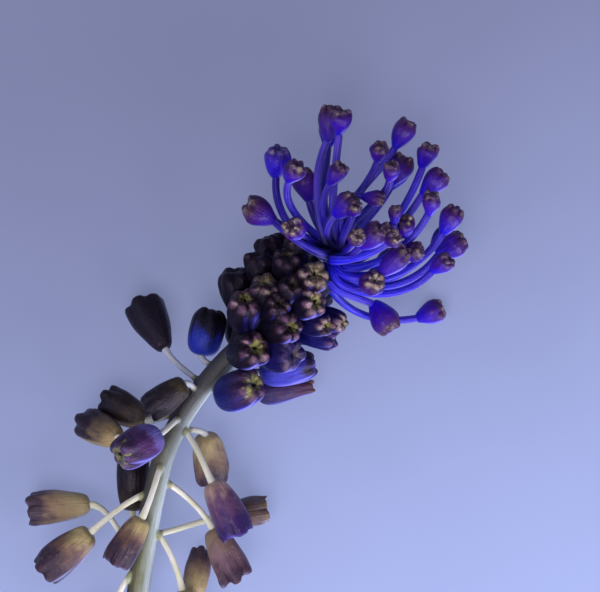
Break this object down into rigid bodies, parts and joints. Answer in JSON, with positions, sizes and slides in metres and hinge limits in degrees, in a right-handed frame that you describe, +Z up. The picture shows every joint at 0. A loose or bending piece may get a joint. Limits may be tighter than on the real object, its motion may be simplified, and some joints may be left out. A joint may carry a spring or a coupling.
{
  "type": "tassel hyacinth",
  "caption": "Cut tassel hyacinth lying on a surface: brown bell florets on pale stalks, a dark head of buds and a violet tassel.",
  "frame": {"origin": "under the middle of the flower's outline as it lies, on the surface", "axes": "+Y along the stem from the cut end to the tassel, +Z up from the surface, +X towards the side that the head bows to"},
  "size_m": [0.0558, 0.1114, 0.02],
  "materials": {
    "stem": "satin",
    "floret": "satin",
    "bud": "satin",
    "tassel": "satin"
  },
  "bodies": {
    "root": {"stem": "stem", "floret_01": "bud", "floret_02": "bud", "floret_03": "bud", "floret_04": "bud", "floret_05": "floret", "floret_06": "floret", "floret_07": "floret", "floret_08": "bud", "floret_09": "floret", "floret_10": "floret", "floret_11": "floret", "floret_12": "floret", "floret_13": "floret", "floret_14": "floret", "floret_15": "floret", "floret_16": "floret", "floret_17": "floret", "floret_18": "floret", "floret_19": "floret", "floret_20": "floret", "floret_21": "floret", "floret_22": "floret", "floret_23": "floret", "floret_24": "floret", "floret_25": "floret", "floret_26": "floret", "bud_head": "bud", "tassel": "tassel"}
  },
  "joints": []
}
